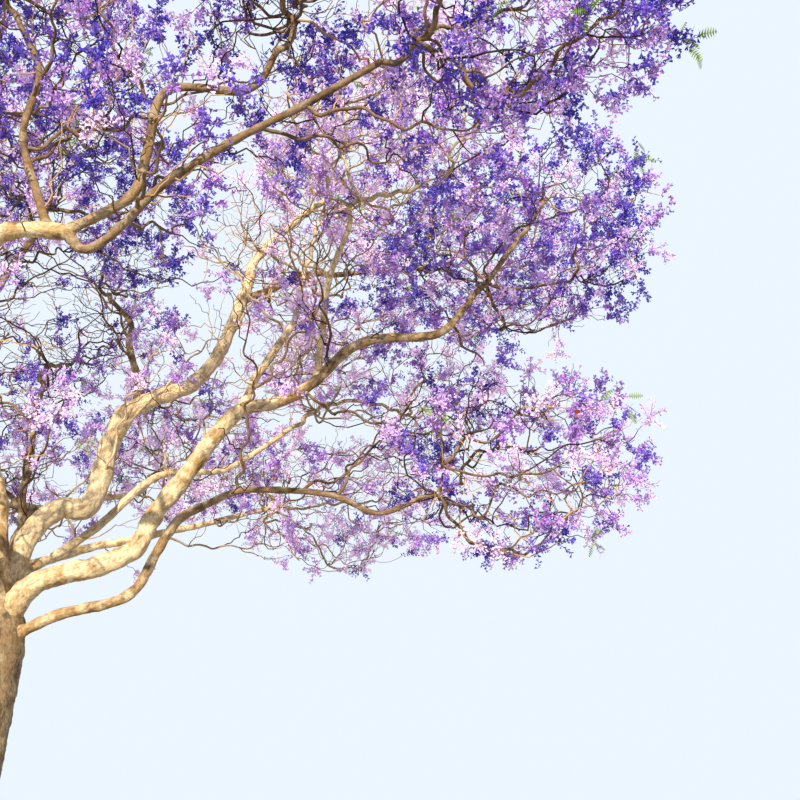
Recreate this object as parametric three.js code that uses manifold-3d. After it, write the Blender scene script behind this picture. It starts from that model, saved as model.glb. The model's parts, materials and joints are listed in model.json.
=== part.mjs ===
// A mature jacaranda tree in full bloom and almost bare of leaves, in millimetres with +Z up.
// The origin is the middle of the flat cut under the trunk, at ground level.
// The trunk forks low into winding boughs, and each outer bough carries one mass of blossom.

import * as THREE from "three";
import { mergeVertices } from "three/addons/utils/BufferGeometryUtils.js";
import Module from "manifold-3d";

const wasm = await Module();
wasm.setup();

// Clearance left between two neighbouring solids
const GAP = 0.3;

// Steps in a surface that are smaller than this are smoothed away
const SMALLEST_STEP = 0.1;

// Trunk: its height to the fork, how far the fork stands from the foot, and its radii
const TRUNK_HEIGHT = 4250;
const TRUNK_LEAN = new THREE.Vector2(50, 20);
const TRUNK_BOW = new THREE.Vector2(-90, 60);
const TRUNK_SIDES = 16;
const TRUNK_RADIUS = 345;
const FORK_RADIUS = 370;
const DOME_SHARES = [0.86, 0.42];
const FLARE = 250;
const FLARE_HEIGHT = 420;
const ROOT_LOBES = 5;
const LOBE_DEPTH = 95;

// Heights of the trunk's rings as shares of its height, closer together in the flare and the dome
const RING_HEIGHTS = [0, 0.035, 0.09, 0.17, 0.32, 0.5, 0.7, 0.86, 0.95, 1];

// Boughs: faces round a bough, and rings along each of its stretches
const BOUGH_SIDES = 6;
const RINGS_PER_STRETCH = 2;
const WINDING_STRETCHES = 4;
const WINDING_TURN = 24;
const WINDING_CLIMB = 17;

// Masses of blossom: height beside width, how far from the middle the bough ends, and the stem's
// length, both as shares of the mass's half width
const MASS_FLATNESS = 0.7;
const STEM_ENTRY = 0.8;
const STEM_SHARE = 0.2;

// Sprays tried in a mass, the half sizes of each, and the room that it keeps
const SPRAYS = 20;
const SPRAY = new THREE.Vector3(340, 240, 150);
const SPRAY_UNEVENNESS = 0.15;
const SPRAY_SPACING = 600;
const SPRAY_PASSING = 280;
const SPACE_MARGIN = 260;
const EMPTY_MIDDLE = 0.12;
const LAYER_STEP = 7;

// Twigs: radius of the last one, how it grows with the sprays that it carries, and its way round
const TWIG_RADIUS = 13;
const TWIG_GROWTH = 0.4;
const TWIG_TAPER = 0.8;
const TWIG_CLEARANCE = 45;
const DETOUR = 0.3;

// The boughs. A bough leaves its parent at a share of the parent's length. A bough that shows well
// is told stretch by stretch: length in mm, bearing in degrees from +X towards +Y, and climb in
// degrees above the level. Any other one winds about one bearing and climb for its whole reach.
// blossom is the half width of the mass that it carries at its tip.
const BOUGHS = [
  { name: "high_right_bough", from: "trunk", at: 0.84, radii: [172, 132],
    stretches: [[750, 94, 82], [700, 44, 72], [500, 18, 48], [400, 7, 17], [1300, 55, 76], [600, 21, 48]] },
  { name: "low_right_bough", from: "trunk", at: 0.86, radii: [150, 98],
    stretches: [[700, -18, 50], [1300, -11, 15], [700, -6, 57], [1300, -15, 54], [450, -9, 43]] },
  { name: "front_bough", from: "trunk", at: 0.84, radii: [160, 74],
    stretches: [[700, -100, 55], [1200, -85, 35], [1400, -78, 25], [1500, -68, 30], [1200, -62, 14],
      [820, -9, -2]] },
  { name: "left_bough", from: "trunk", at: 0.83, radii: [165, 100], bearing: 186, climb: 40, reach: 3700 },
  { name: "back_bough", from: "trunk", at: 0.85, radii: [165, 100], bearing: 104, climb: 42, reach: 3700 },
  { name: "middle_bough", from: "trunk", at: 0.9, radii: [150, 95], bearing: 205, climb: 74, reach: 4300 },
  { name: "bottom_right_bough", from: "trunk", at: 0.8, radii: [78, 52],
    stretches: [[900, -13, 22], [950, -11, 12], [650, -4, 60], [500, -21, 54], [400, -17, 26]] },

  { name: "high_right_leader", from: "high_right_bough", at: 0.97, radii: [126, 58], blossom: 2050,
    stretches: [[1050, 14, 34], [1450, 17, 70], [900, 19, 76], [1350, 8, 50]] },
  { name: "high_inner_bough", from: "high_right_bough", at: 0.93, radii: [70, 40], blossom: 2100,
    bearing: 128, climb: 60, reach: 3300 },
  { name: "high_outer_bough", from: "high_right_leader", at: 0.5, radii: [66, 38], blossom: 2200,
    bearing: 24, climb: 30, reach: 2700 },
  { name: "slender_bough", from: "high_right_bough", at: 0.16, radii: [66, 38], blossom: 2200,
    bearing: 30, climb: 34, reach: 5300 },

  { name: "far_right_bough", from: "low_right_bough", at: 0.97, radii: [88, 46], blossom: 2200,
    stretches: [[750, -11, 10], [1100, -7, 40], [1050, -6, 6], [600, 0, 45]] },
  { name: "upright_right_bough", from: "low_right_bough", at: 0.96, radii: [66, 38], blossom: 1800,
    stretches: [[600, 26, 69], [1000, 24, 63], [550, 53, 77]] },
  { name: "front_right_bough", from: "far_right_bough", at: 0.34, radii: [54, 34], blossom: 2200,
    stretches: [[550, -78, 68], [750, -75, 52], [700, -58, 46]] },
  { name: "drooping_right_bough", from: "bottom_right_bough", at: 0.96, radii: [48, 30], blossom: 1900,
    stretches: [[650, -9, 18], [1100, -5, -5], [650, -12, -25], [450, -4, 14]] },

  { name: "front_left_top", from: "front_bough", at: 0.95, radii: [46, 31], blossom: 1900,
    stretches: [[500, 180, 67], [750, 168, 71], [800, 58, 86], [900, 172, 65]] },
  { name: "front_middle_top", from: "front_bough", at: 0.98, radii: [54, 34], blossom: 1800,
    stretches: [[700, -10, 27], [500, -24, 75], [700, -20, 78], [850, -10, -7], [500, -17, 55]] },
  { name: "front_right_top", from: "front_bough", at: 0.98, radii: [48, 32], blossom: 1900,
    stretches: [[400, -16, -32], [1100, -14, 40], [1200, -13, 25], [900, -12, 27]] },
  { name: "front_left_bough", from: "front_bough", at: 0.42, radii: [84, 44], blossom: 2200,
    bearing: 216, climb: 36, reach: 3000 },

  { name: "far_left_bough", from: "left_bough", at: 0.97, radii: [84, 42], blossom: 2300,
    bearing: 188, climb: 18, reach: 2500 },
  { name: "left_back_bough", from: "left_bough", at: 0.8, radii: [80, 42], blossom: 2250,
    bearing: 138, climb: 38, reach: 3000 },
  { name: "left_front_bough", from: "left_bough", at: 0.62, radii: [80, 42], blossom: 2200,
    bearing: 226, climb: 34, reach: 2900 },

  { name: "back_left_bough", from: "back_bough", at: 0.94, radii: [82, 42], blossom: 2250,
    bearing: 124, climb: 22, reach: 2700 },
  { name: "back_right_bough", from: "back_bough", at: 0.97, radii: [82, 42], blossom: 2250,
    bearing: 62, climb: 26, reach: 2900 },
  { name: "far_back_right_bough", from: "back_bough", at: 0.6, radii: [80, 42], blossom: 2250,
    bearing: 34, climb: 24, reach: 4000 },
  { name: "back_top_bough", from: "back_bough", at: 0.84, radii: [74, 42], blossom: 2100,
    bearing: 110, climb: 66, reach: 2900 },

  { name: "top_left_bough", from: "middle_bough", at: 0.96, radii: [76, 42], blossom: 2250,
    bearing: 165, climb: 46, reach: 2500 },
  { name: "top_front_bough", from: "middle_bough", at: 0.9, radii: [76, 42], blossom: 2250,
    bearing: -70, climb: 48, reach: 2900 },
  { name: "top_bough", from: "middle_bough", at: 0.97, radii: [68, 40], blossom: 2100,
    bearing: 60, climb: 72, reach: 2500 },
];

// The same numbers from 0 to 1 each time, told only by their seed.
function drawsFrom(seed) {
  let state = seed >>> 0;
  return () => {
    state = (state + 0x6d2b79f5) >>> 0;
    let mixed = Math.imul(state ^ (state >>> 15), 1 | state);
    mixed = (mixed + Math.imul(mixed ^ (mixed >>> 7), 61 | mixed)) ^ mixed;
    return ((mixed ^ (mixed >>> 14)) >>> 0) / 4294967296;
  };
}

// A number from -1 to 1
function either(draw) {
  return 2 * draw() - 1;
}

function pointing(bearing, climb) {
  const turn = THREE.MathUtils.degToRad(bearing);
  const rise = THREE.MathUtils.degToRad(climb);
  return new THREE.Vector3(Math.cos(rise) * Math.cos(turn), Math.cos(rise) * Math.sin(turn), Math.sin(rise));
}

// Stretches that swing from side to side and up and down about one bearing and climb
function windingStretches(bough, draw) {
  const stretches = [];
  let side = draw() < 0.5 ? -1 : 1;
  for (let i = 0; i < WINDING_STRETCHES; i += 1) {
    const turn = side * WINDING_TURN * (0.5 + draw() / 2);
    const rise = either(draw) * WINDING_CLIMB;
    stretches.push([bough.reach / WINDING_STRETCHES, bough.bearing + turn, bough.climb + rise]);
    side = -side;
  }
  return stretches;
}

// A smooth centre line through the ends of the stretches
function centreLine(start, stretches) {
  const ends = [start];
  for (const [length, bearing, climb] of stretches) {
    ends.push(pointing(bearing, climb).multiplyScalar(length).add(ends.at(-1)));
  }
  return new THREE.CatmullRomCurve3(ends, false, "catmullrom", 0.5);
}

// A closed solid from a geometry, with its shared vertices merged
function solidFrom(geometry) {
  geometry.deleteAttribute("normal");
  geometry.deleteAttribute("uv");
  const merged = mergeVertices(geometry);
  return { positions: merged.attributes.position, triangles: new Uint32Array(merged.index.array) };
}

function toManifold({ positions, triangles }) {
  return new wasm.Manifold(
    new wasm.Mesh({ numProp: 3, vertProperties: new Float32Array(positions.array), triVerts: triangles }),
  );
}

// A limb: a cylinder whose rings are moved onto the points of its line. outline(ring, angle) is the
// distance of its surface from that line.
function limbSolid({ points, sides, frames }, outline) {
  const last = points.length - 1;
  const merged = solidFrom(new THREE.CylinderGeometry(1, 1, last, sides, last));
  const vertex = new THREE.Vector3();
  for (let i = 0; i < merged.positions.count; i += 1) {
    vertex.fromBufferAttribute(merged.positions, i);
    const ring = Math.round(vertex.y + last / 2);
    const reach = Math.hypot(vertex.x, vertex.z) < 0.5 ? 0 : outline(ring, Math.atan2(vertex.z, vertex.x));
    const { across, along } = frames[ring];
    vertex.set(
      points[ring].x + reach * (across.x * vertex.x + along.x * vertex.z),
      points[ring].y + reach * (across.y * vertex.x + along.y * vertex.z),
      points[ring].z + reach * (across.z * vertex.x + along.z * vertex.z),
    );
    merged.positions.setXYZ(i, vertex.x, vertex.y, vertex.z);
  }
  return toManifold(merged);
}

// Two directions across the line at each of its points, carried along it without twisting. The
// rings of an upright limb all lie level.
function ringFrames(points, upright = false) {
  let across = new THREE.Vector3(1, 0, 0);
  return points.map((point, i) => {
    const before = points[Math.max(i - 1, 0)];
    const after = points[Math.min(i + 1, points.length - 1)];
    const heading = upright ? new THREE.Vector3(0, 0, 1) : after.clone().sub(before).normalize();
    across = across.clone().addScaledVector(heading, -across.dot(heading)).normalize();
    return { across, along: across.clone().cross(heading) };
  });
}

// The largest body of a solid, with its loose scraps dropped and its sealed hollows filled
function mainBody(solid) {
  return solid
    .decompose()
    .reduce((largest, body) => (body.volume() > largest.volume() ? body : largest))
    .asOriginal()
    .simplify(SMALLEST_STEP);
}

// The trunk, with lobed root flare at the ground and a domed fork
function trunkLimb() {
  const points = RING_HEIGHTS.map((share) => {
    const bow = Math.sin(Math.PI * share);
    return new THREE.Vector3(
      TRUNK_LEAN.x * share + TRUNK_BOW.x * bow,
      TRUNK_LEAN.y * share + TRUNK_BOW.y * bow,
      TRUNK_HEIGHT * share,
    );
  });
  const outline = (ring, angle) => {
    const dome = DOME_SHARES[ring - points.length + DOME_SHARES.length] ?? 1;
    const flare = Math.exp(-points[ring].z / FLARE_HEIGHT);
    const waist = THREE.MathUtils.lerp(TRUNK_RADIUS, FORK_RADIUS, RING_HEIGHTS[ring]);
    return dome * (waist + flare * (FLARE + LOBE_DEPTH * Math.cos(ROOT_LOBES * angle)));
  };
  const radii = points.map((_, ring) => outline(ring, 0));
  return { points, radii, outline, sides: TRUNK_SIDES, frames: ringFrames(points, true) };
}

// A bough's points, its outline and its radius at each point
function boughLimb(bough, parent, index) {
  const place = bough.at * (parent.points.length - 1);
  const below = Math.min(Math.floor(place), parent.points.length - 2);
  const start = parent.points[below].clone().lerp(parent.points[below + 1], place - below);
  const stretches = bough.stretches ?? windingStretches(bough, drawsFrom(index + 1));
  const points = centreLine(start, stretches).getPoints(stretches.length * RINGS_PER_STRETCH);
  const radii = points.map((_, i) => THREE.MathUtils.lerp(...bough.radii, i / (points.length - 1)));
  return { points, radii, outline: (ring) => radii[ring], sides: BOUGH_SIDES, frames: ringFrames(points) };
}

// The same limb with the gap added all round and past its tip, to cut its neighbours with
function grown(limb) {
  const tip = limb.points.at(-1);
  const heading = tip.clone().sub(limb.points.at(-2)).normalize();
  const points = [...limb.points.slice(0, -1), tip.clone().addScaledVector(heading, GAP)];
  return limbSolid({ ...limb, points }, (ring, angle) => limb.outline(ring, angle) + GAP);
}

// The shortest distance between two straight stretches
function distanceBetween(a, b, c, d) {
  const ab = b.clone().sub(a);
  const cd = d.clone().sub(c);
  const ac = a.clone().sub(c);
  const lengthAb = ab.lengthSq();
  const lengthCd = cd.lengthSq();
  const both = ab.dot(cd);
  const slant = lengthAb * lengthCd - both * both;
  const clamp = (value) => Math.min(1, Math.max(0, value));
  let s = slant > 1e-6 ? clamp((both * cd.dot(ac) - lengthCd * ab.dot(ac)) / slant) : 0;
  const t = lengthCd > 0 ? clamp((both * s + cd.dot(ac)) / lengthCd) : 0;
  s = lengthAb > 0 ? clamp((both * t - ab.dot(ac)) / lengthAb) : 0;
  return a.clone().addScaledVector(ab, s).distanceTo(c.clone().addScaledVector(cd, t));
}

function clearOfLimbs(a, b, radius, limbs) {
  const middle = a.clone().add(b).multiplyScalar(0.5);
  const half = a.distanceTo(b) / 2;
  return limbs.every((limb) => {
    for (let i = 0; i + 1 < limb.points.length; i += 1) {
      const c = limb.points[i];
      const d = limb.points[i + 1];
      const needed = limb.radii[i] + radius;
      const near = half + c.distanceTo(d) + needed;
      if (middle.distanceTo(c) > near) continue;
      if (distanceBetween(a, b, c, d) < needed) return false;
    }
    return true;
  });
}

// A mass's own space: a flattened ball beyond its bough's tip
function massSpace(bough, limb) {
  const root = limb.points.at(-1);
  const heading = root.clone().sub(limb.points.at(-2)).normalize();
  const spread = bough.blossom;
  const along = spread / Math.hypot(heading.x, heading.y, heading.z / MASS_FLATNESS);
  return { root, heading, spread, centre: root.clone().addScaledVector(heading, STEM_ENTRY * along) };
}

// A point from a mass's middle, with its height stretched so that the mass is a round ball
function stretched(point, space) {
  return new THREE.Vector3(
    point.x - space.centre.x,
    point.y - space.centre.y,
    (point.z - space.centre.z) / MASS_FLATNESS,
  );
}

// True where a point is inside its own ball and further than the margin from every neighbour's share
function insideSpace(point, space, spaces) {
  const own = stretched(point, space);
  if (own.length() > space.spread - SPACE_MARGIN) return false;
  const ownPower = own.lengthSq() - space.spread ** 2;
  return spaces.every((other) => {
    if (other === space) return true;
    const power = stretched(point, other).lengthSq() - other.spread ** 2;
    const apart = stretched(other.centre, space).length();
    return ownPower < power - 2 * apart * SPACE_MARGIN;
  });
}

// The ends of the twigs: spread evenly through the ball, with each moved a little
function twigEnds(space, spaces, draw) {
  const golden = Math.PI * (3 - Math.sqrt(5));
  const ends = [];
  for (let i = 0; i < SPRAYS; i += 1) {
    const share = (((i * LAYER_STEP) % SPRAYS) + draw()) / SPRAYS;
    const out = (space.spread - SPACE_MARGIN) * Math.cbrt(THREE.MathUtils.lerp(EMPTY_MIDDLE, 1, share));
    const height = 1 - (2 * (i + 0.5)) / SPRAYS;
    const ring = Math.sqrt(1 - height * height);
    const turn = i * golden + draw() / 2;
    const end = new THREE.Vector3(
      space.centre.x + out * ring * Math.cos(turn),
      space.centre.y + out * ring * Math.sin(turn),
      space.centre.z + out * height * MASS_FLATNESS,
    );
    if (insideSpace(end, space, spaces)) ends.push(end);
  }
  return ends.sort((a, b) => a.distanceTo(space.root) - b.distanceTo(space.root));
}

// True where a twig from one joint to an end misses every limb and every other spray
function clearTwig(joints, parent, end, limbs) {
  const from = joints[parent].point;
  const misses = joints.every((joint, i) => {
    return i <= 1 || i === parent || distanceBetween(from, end, joint.point, joint.point) > SPRAY_PASSING;
  });
  return misses && clearOfLimbs(from, end, 2.5 * TWIG_RADIUS + TWIG_CLEARANCE, limbs);
}

// Twigs that branch from one stem: each end joins where its own stretch, and a share of the way
// back to the root, are shortest together.
function branching(space, spaces, limbs, draw) {
  const stemLength = STEM_SHARE * space.spread;
  const root = space.root.clone().addScaledVector(space.heading, GAP);
  const stemEnd = root.clone().addScaledVector(space.heading, stemLength);
  const joints = [
    { point: root, parent: null, back: 0, carried: 0 },
    { point: stemEnd, parent: 0, back: stemLength, carried: 0 },
  ];
  for (const end of twigEnds(space, spaces, draw)) {
    const crowded = joints.some((joint) => joint.point.distanceTo(end) < SPRAY_SPACING);
    if (crowded || !clearOfLimbs(end, end, SPRAY.x + TWIG_CLEARANCE, limbs)) continue;
    const parent = joints
      .map((joint, i) => ({ i, cost: joint.point.distanceTo(end) + DETOUR * joint.back }))
      .filter(({ i }) => i > 0)
      .sort((a, b) => a.cost - b.cost)
      .find(({ i }) => clearTwig(joints, i, end, limbs));
    if (!parent) continue;
    const back = joints[parent.i].back + joints[parent.i].point.distanceTo(end);
    joints.push({ point: end, parent: parent.i, back, carried: 0 });
  }
  for (let i = joints.length - 1; i > 0; i -= 1) {
    joints[i].carried += 1;
    joints[joints[i].parent].carried += joints[i].carried;
  }
  return joints;
}

// A three-sided twig between two joints, its root sunk in what it grows from
function twigSolid(from, to, radius, endRadius, sunk) {
  const heading = to.clone().sub(from).normalize();
  const start = from.clone().addScaledVector(heading, -sunk);
  const length = start.distanceTo(to);
  const shape = new THREE.CylinderGeometry(endRadius, radius, length, 3);
  const turned = new THREE.Quaternion().setFromUnitVectors(new THREE.Vector3(0, 1, 0), heading);
  shape.applyQuaternion(turned);
  const middle = start.add(to).multiplyScalar(0.5);
  shape.translate(middle.x, middle.y, middle.z);
  return toManifold(solidFrom(shape));
}

// A spray of blossom: a flattened lens of 8 faces that its twig enters through one of them
function spraySolid(joint, from, draw) {
  const size = 1 + SPRAY_UNEVENNESS * either(draw);
  const shape = new THREE.OctahedronGeometry(1);
  shape.scale(SPRAY.x * size, SPRAY.y * size, SPRAY.z * size);
  const heading = joint.point.clone().sub(from).normalize();
  shape.applyQuaternion(new THREE.Quaternion().setFromUnitVectors(SPRAY.clone().normalize(), heading));
  shape.applyQuaternion(new THREE.Quaternion().setFromAxisAngle(heading, Math.PI * draw()));
  shape.translate(joint.point.x, joint.point.y, joint.point.z);
  return toManifold(solidFrom(shape));
}

function massSolid(space, spaces, limbs, index, tipRadius) {
  const draw = drawsFrom(1000 + index);
  const joints = branching(space, spaces, limbs, draw);
  const pieces = [];
  const radiusOf = (joint) => Math.min(TWIG_RADIUS * joint.carried ** TWIG_GROWTH, tipRadius);
  joints.forEach((joint, i) => {
    if (i === 0) return;
    const from = joints[joint.parent];
    const radius = radiusOf(joint);
    const sunk = i === 1 ? 0 : 1.5 * radius;
    pieces.push(twigSolid(from.point, joint.point, radius, TWIG_TAPER * radius, sunk));
    if (i > 1) pieces.push(spraySolid(joint, from.point, draw));
  });
  return mainBody(wasm.Manifold.union(pieces));
}

const bark = new THREE.MeshStandardMaterial({ color: 0xb5946a, roughness: 0.9, metalness: 0 });
const blossom = new THREE.MeshStandardMaterial({ color: 0x8a72d0, roughness: 0.8, metalness: 0 });

// A named mesh, placed at the point where the piece begins
function addMesh(group, name, solid, start, material) {
  const made = solid.translate([-start.x, -start.y, -start.z]).getMesh();
  const geometry = new THREE.BufferGeometry();
  geometry.setAttribute("position", new THREE.BufferAttribute(made.vertProperties, 3));
  geometry.setIndex(new THREE.BufferAttribute(made.triVerts, 1));
  geometry.computeVertexNormals();
  const mesh = new THREE.Mesh(geometry, material);
  mesh.name = name;
  mesh.position.copy(start);
  group.add(mesh);
}

const tree = new THREE.Group();
const limbs = new Map();

const trunk = trunkLimb();
limbs.set("trunk", trunk);
const earlier = [grown(trunk)];
addMesh(tree, "trunk", limbSolid(trunk, trunk.outline), trunk.points[0], bark);

BOUGHS.forEach((bough, index) => {
  const limb = boughLimb(bough, limbs.get(bough.from), index);
  const whole = limbSolid(limb, limb.outline);
  const cut = mainBody(earlier.reduce((rest, other) => rest.subtract(other), whole));
  limbs.set(bough.name, limb);
  earlier.push(grown(limb));
  addMesh(tree, bough.name, cut, limb.points[0], bark);
});

const carriers = BOUGHS.filter((bough) => bough.blossom);
const spaces = carriers.map((bough) => massSpace(bough, limbs.get(bough.name)));
carriers.forEach((bough, index) => {
  const mass = massSolid(spaces[index], spaces, [...limbs.values()], index, bough.radii[1]);
  addMesh(tree, `${bough.name.replace("_bough", "")}_blossom`, mass, spaces[index].root, blossom);
});

export default tree;
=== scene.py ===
# A mature jacaranda tree in full bloom and almost bare of leaves, dressed round its solids.
# The tree's rule is told in millimetres, as in the part's source. Every mesh is in metres, +Z up.
import json
from collections import namedtuple
from math import cos, hypot, pi, radians, sin, sqrt, tau

import bpy
import numpy as np
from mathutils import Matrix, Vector, noise
from numpy.linalg import norm

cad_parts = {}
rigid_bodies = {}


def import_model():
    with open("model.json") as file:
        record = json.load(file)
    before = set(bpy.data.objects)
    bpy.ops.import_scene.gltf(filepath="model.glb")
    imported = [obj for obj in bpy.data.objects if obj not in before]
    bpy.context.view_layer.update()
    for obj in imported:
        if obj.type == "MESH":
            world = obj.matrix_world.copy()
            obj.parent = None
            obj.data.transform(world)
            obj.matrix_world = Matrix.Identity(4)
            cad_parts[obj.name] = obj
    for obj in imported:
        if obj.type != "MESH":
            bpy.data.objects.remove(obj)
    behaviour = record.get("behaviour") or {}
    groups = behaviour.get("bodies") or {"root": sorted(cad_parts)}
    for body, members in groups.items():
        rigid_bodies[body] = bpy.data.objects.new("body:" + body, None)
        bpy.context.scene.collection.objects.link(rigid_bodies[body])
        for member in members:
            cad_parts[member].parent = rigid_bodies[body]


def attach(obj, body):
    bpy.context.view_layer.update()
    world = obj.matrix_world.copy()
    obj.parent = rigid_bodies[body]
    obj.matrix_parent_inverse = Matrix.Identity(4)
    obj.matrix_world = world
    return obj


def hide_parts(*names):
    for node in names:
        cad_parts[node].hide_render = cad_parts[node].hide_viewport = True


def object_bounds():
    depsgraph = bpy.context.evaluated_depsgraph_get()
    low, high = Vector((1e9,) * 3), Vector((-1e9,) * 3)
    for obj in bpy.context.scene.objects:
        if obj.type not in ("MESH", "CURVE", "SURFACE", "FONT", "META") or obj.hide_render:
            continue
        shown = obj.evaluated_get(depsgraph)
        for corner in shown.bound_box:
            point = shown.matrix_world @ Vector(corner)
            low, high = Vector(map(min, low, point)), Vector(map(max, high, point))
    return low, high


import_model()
cad_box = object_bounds()

MM = 0.001
BODY = "root"

# The rule of the solids, with the values of the part's source
GAP = 0.3
TRUNK_HEIGHT = 4250
TRUNK_LEAN = (50, 20)
TRUNK_BOW = (-90, 60)
TRUNK_RADIUS = 345
FORK_RADIUS = 370
DOME_SHARES = (0.86, 0.42)
FLARE = 250
FLARE_HEIGHT = 420
ROOT_LOBES = 5
LOBE_DEPTH = 95
RING_HEIGHTS = (0, 0.035, 0.09, 0.17, 0.32, 0.5, 0.7, 0.86, 0.95, 1)
RINGS_PER_STRETCH = 2
WINDING_STRETCHES = 4
WINDING_TURN = 24
WINDING_CLIMB = 17
MASS_FLATNESS = 0.7
STEM_ENTRY = 0.8
STEM_SHARE = 0.2
SPRAYS = 20
SPRAY_REACH = 340
SPRAY_SPACING = 600
SPRAY_PASSING = 280
SPACE_MARGIN = 260
EMPTY_MIDDLE = 0.12
LAYER_STEP = 7
THICKEST_TWIG = 32.5
TWIG_CLEARANCE = 45
DETOUR = 0.3
MASS_SEED = 1000

# A family is a main bough with the boughs that leave it. A bough leaves its parent at a share of
# the parent's length. One that shows well is told stretch by stretch: length, bearing from +X
# towards +Y and climb in degrees. Any other winds about one bearing and climb for its whole reach.
# blossom is the half width of the mass at its tip, fullness the share of its twigs that bear
# blossom, and the next field how much paler that is than the rest: painted sunlight above 0 and
# painted shade below. The last field is how much further than the rest its bark is bleached: partly
# bleaching by the sun, partly painted sunlight where the crown shades it.
Bough = namedtuple("Bough", "name parent at radii blossom winding stretches fullness paler bleached",
                   defaults=(0, None, None, 1, 0, 0))
BOUGHS = [
    Bough("high_right_bough", "trunk", 0.84, (172, 132), bleached=0.13, stretches=[
        (750, 94, 82), (700, 44, 72), (500, 18, 48), (400, 7, 17), (1300, 55, 76), (600, 21, 48)]),
    Bough("low_right_bough", "trunk", 0.86, (150, 98), bleached=0.07, stretches=[
        (700, -18, 50), (1300, -11, 15), (700, -6, 57), (1300, -15, 54), (450, -9, 43)]),
    Bough("front_bough", "trunk", 0.84, (160, 74), bleached=0.03, stretches=[
        (700, -100, 55), (1200, -85, 35), (1400, -78, 25), (1500, -68, 30), (1200, -62, 14),
        (820, -9, -2)]),
    Bough("left_bough", "trunk", 0.83, (165, 100), winding=(186, 40, 3700)),
    Bough("back_bough", "trunk", 0.85, (165, 100), winding=(104, 42, 3700)),
    Bough("middle_bough", "trunk", 0.9, (150, 95), winding=(205, 74, 4300)),
    Bough("bottom_right_bough", "trunk", 0.8, (78, 52), stretches=[
        (900, -13, 22), (950, -11, 12), (650, -4, 60), (500, -21, 54), (400, -17, 26)]),

    Bough("high_right_leader", "high_right_bough", 0.97, (126, 58), 2050, fullness=0.7, paler=0.34,
          bleached=0.13, stretches=[(1050, 14, 34), (1450, 17, 70), (900, 19, 76), (1350, 8, 50)]),
    Bough("high_inner_bough", "high_right_bough", 0.93, (70, 40), 2100, (128, 60, 3300),
          fullness=0.55, paler=-0.08),
    Bough("high_outer_bough", "high_right_leader", 0.5, (66, 38), 2200, (24, 30, 2700),
          fullness=1.5, paler=-0.24),
    Bough("slender_bough", "high_right_bough", 0.16, (66, 38), 2200, (30, 34, 5300),
          fullness=0.7, paler=0.24, bleached=0.1),

    Bough("far_right_bough", "low_right_bough", 0.97, (88, 46), 2200, fullness=1.6, paler=-0.06,
          stretches=[(750, -11, 10), (1100, -7, 40), (1050, -6, 6), (600, 0, 45)]),
    Bough("upright_right_bough", "low_right_bough", 0.96, (66, 38), 1800, fullness=0.7, paler=0.34,
          bleached=0.1, stretches=[(600, 26, 69), (1000, 24, 63), (550, 53, 77)]),
    Bough("front_right_bough", "far_right_bough", 0.34, (54, 34), 2200, fullness=0.7, paler=0.12,
          bleached=0.12, stretches=[(550, -78, 68), (750, -75, 52), (700, -58, 46)]),
    Bough("drooping_right_bough", "bottom_right_bough", 0.96, (48, 30), 1900, fullness=0.8,
          paler=-0.14, stretches=[(650, -9, 18), (1100, -5, -5), (650, -12, -25), (450, -4, 14)]),

    Bough("front_left_top", "front_bough", 0.95, (46, 31), 1900, fullness=1.6, paler=-0.08,
          stretches=[(500, 180, 67), (750, 168, 71), (800, 58, 86), (900, 172, 65)]),
    Bough("front_middle_top", "front_bough", 0.98, (54, 34), 1800, fullness=1.9, paler=-0.2,
          stretches=[(700, -10, 27), (500, -24, 75), (700, -20, 78), (850, -10, -7), (500, -17, 55)]),
    Bough("front_right_top", "front_bough", 0.98, (48, 32), 1900, fullness=1.9, paler=-0.24,
          stretches=[(400, -16, -32), (1100, -14, 40), (1200, -13, 25), (900, -12, 27)]),
    Bough("front_left_bough", "front_bough", 0.42, (84, 44), 2200, (216, 36, 3000)),

    Bough("far_left_bough", "left_bough", 0.97, (84, 42), 2300, (188, 18, 2500)),
    Bough("left_back_bough", "left_bough", 0.8, (80, 42), 2250, (138, 38, 3000)),
    Bough("left_front_bough", "left_bough", 0.62, (80, 42), 2200, (226, 34, 2900)),

    Bough("back_left_bough", "back_bough", 0.94, (82, 42), 2250, (124, 22, 2700),
          fullness=0.7, paler=0.1),
    Bough("back_right_bough", "back_bough", 0.97, (82, 42), 2250, (62, 26, 2900),
          fullness=0.65, paler=0.15, bleached=0.08),
    Bough("far_back_right_bough", "back_bough", 0.6, (80, 42), 2250, (34, 24, 4000),
          fullness=0.8, paler=0.2, bleached=0.1),
    Bough("back_top_bough", "back_bough", 0.84, (74, 42), 2100, (110, 66, 2900), fullness=0.55),

    Bough("top_left_bough", "middle_bough", 0.96, (76, 42), 2250, (165, 46, 2500)),
    Bough("top_front_bough", "middle_bough", 0.9, (76, 42), 2250, (-70, 48, 2900), paler=-0.08),
    Bough("top_bough", "middle_bough", 0.97, (68, 40), 2100, (60, 72, 2500)),
]

# Limbs as they show: distance between rings and between points round a ring, the swelling where a
# bough leaves its parent, how far the line and the girth wander, and the rounded tips. WANDER_SEED
# fixes the noise that moves the line, which takes its seed from the clock if it is given none.
RING_STEP = 25
RING_EDGE = 21
FEWEST_SIDES = 12
TWIG_RING_STEP = 60
FEWEST_TWIG_SIDES = 7
COLLAR = 0.38
COLLAR_LIMIT = 0.95
COLLAR_FOOT = 0.8
COLLAR_FADE = 0.9
LINE_WANDER = 0.3
LINE_WAVE = 520
LINE_PLANE = 0.5
WANDER_SEED = 7
GIRTH_WANDER = 0.12
GIRTH_WAVE = 230
GIRTH_PLANE = 7.5
DOME_FOOT = 0.84
DOME_TOP = 1.02
DOME_END = 0.97

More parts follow.
